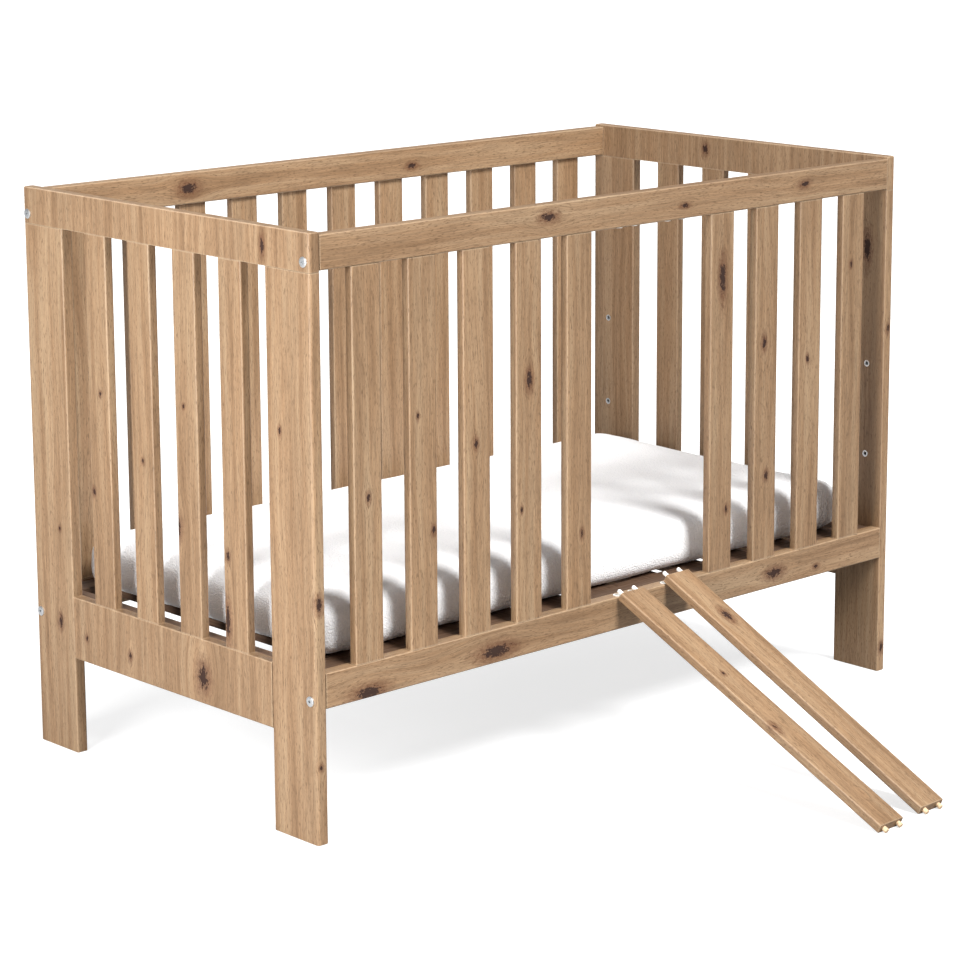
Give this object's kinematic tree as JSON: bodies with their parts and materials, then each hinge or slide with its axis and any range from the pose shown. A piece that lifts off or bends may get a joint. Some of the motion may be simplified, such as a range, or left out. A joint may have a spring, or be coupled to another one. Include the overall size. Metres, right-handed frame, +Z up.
{
  "type": "playpen",
  "caption": "Wooden slatted cot used as a playpen, with board ends, a mattress on a bolted base, and removable front slats leaning on the rail.",
  "frame": {"origin": "on the floor at the centre of the four feet", "axes": "+Z up, +X along the cot towards the right end seen from the front, -Y towards the side with the removable slats"},
  "size_m": [1.2472, 1.2053, 0.875],
  "materials": {
    "oak_board": "oak-look melamine foil, satin, grain printed along each board",
    "base_wood": "plain pale plywood, matt",
    "beech": "turned beech, matt",
    "zinc_steel": "bright zinc plating",
    "spring_steel": "bright spring wire",
    "white_plastic": "white nylon, satin",
    "mattress_cover": "white terry cloth"
  },
  "bodies": {
    "cot_frame": {"left_front_leg": "oak_board", "left_rear_leg": "oak_board", "left_end_top_rail": "oak_board", "left_end_bottom_rail": "oak_board", "left_end_slat_1": "oak_board", "left_end_slat_2": "oak_board", "left_end_slat_3": "oak_board", "left_end_slat_4": "oak_board", "right_front_leg": "oak_board", "right_rear_leg": "oak_board", "right_end_top_rail": "oak_board", "right_end_bottom_rail": "oak_board", "right_end_slat_1": "oak_board", "right_end_slat_2": "oak_board", "right_end_slat_3": "oak_board", "right_end_slat_4": "oak_board", "front_top_rail": "oak_board", "front_bottom_rail": "oak_board", "front_slat_1": "oak_board", "front_slat_2": "oak_board", "front_slat_3": "oak_board", "front_slat_4": "oak_board", "front_slat_5": "oak_board", "front_slat_8": "oak_board", "front_slat_9": "oak_board", "front_slat_10": "oak_board", "front_slat_11": "oak_board", "rear_top_rail": "oak_board", "rear_bottom_rail": "oak_board", "rear_slat_1": "oak_board", "rear_slat_2": "oak_board", "rear_slat_3": "oak_board", "rear_slat_4": "oak_board", "rear_slat_5": "oak_board", "rear_slat_6": "oak_board", "rear_slat_7": "oak_board", "rear_slat_8": "oak_board", "rear_slat_9": "oak_board", "rear_slat_10": "oak_board", "rear_slat_11": "oak_board", "corner_bolts": "zinc_steel", "barrel_nuts": "zinc_steel", "base_bolts": "zinc_steel", "threaded_inserts": "zinc_steel", "slat_socket_bushes": "white_plastic", "dowels": "beech", "base_end_bars": "base_wood", "base_side_bars": "base_wood", "base_slats": "base_wood"},
    "mattress": {"mattress": "mattress_cover"},
    "removable_slat_6": {"removable_slat_6": "oak_board", "removable_slat_6_dowel_pins": "beech", "removable_slat_6_springs": "spring_steel"},
    "removable_slat_6_left_spring_pin": {"removable_slat_6_left_spring_pin": "white_plastic"},
    "removable_slat_6_right_spring_pin": {"removable_slat_6_right_spring_pin": "white_plastic"},
    "removable_slat_7": {"removable_slat_7": "oak_board", "removable_slat_7_dowel_pins": "beech", "removable_slat_7_springs": "spring_steel"},
    "removable_slat_7_left_spring_pin": {"removable_slat_7_left_spring_pin": "white_plastic"},
    "removable_slat_7_right_spring_pin": {"removable_slat_7_right_spring_pin": "white_plastic"}
  },
  "joints": [
    {"name": "mattress_lift", "type": "slide", "parent": "cot_frame", "child": "mattress", "axis": [0, 0, 1], "range_m": [0, 0.66]},
    {"name": "removable_slat_6_lift", "type": "slide", "parent": "cot_frame", "child": "removable_slat_6", "axis": [0, 0, 1], "range_m": [0, 0.3]},
    {"name": "removable_slat_6_left_spring_pin_press", "type": "slide", "parent": "removable_slat_6", "child": "removable_slat_6_left_spring_pin", "axis": [0.0201, -0.9016, -0.4321], "range_m": [0, 0.013], "stiffness_N_per_m": 300, "springref_m": -0.005, "deforming": ["removable_slat_6_springs"]},
    {"name": "removable_slat_6_right_spring_pin_press", "type": "slide", "parent": "removable_slat_6", "child": "removable_slat_6_right_spring_pin", "axis": [0.0201, -0.9016, -0.4321], "range_m": [0, 0.013], "stiffness_N_per_m": 300, "springref_m": -0.005, "deforming": ["removable_slat_6_springs"]},
    {"name": "removable_slat_7_lift", "type": "slide", "parent": "cot_frame", "child": "removable_slat_7", "axis": [0, 0, 1], "range_m": [0, 0.3]},
    {"name": "removable_slat_7_left_spring_pin_press", "type": "slide", "parent": "removable_slat_7", "child": "removable_slat_7_left_spring_pin", "axis": [0.0145, -0.8951, -0.4455], "range_m": [0, 0.013], "stiffness_N_per_m": 300, "springref_m": -0.005, "deforming": ["removable_slat_7_springs"]},
    {"name": "removable_slat_7_right_spring_pin_press", "type": "slide", "parent": "removable_slat_7", "child": "removable_slat_7_right_spring_pin", "axis": [0.0145, -0.8951, -0.4455], "range_m": [0, 0.013], "stiffness_N_per_m": 300, "springref_m": -0.005, "deforming": ["removable_slat_7_springs"]}
  ]
}
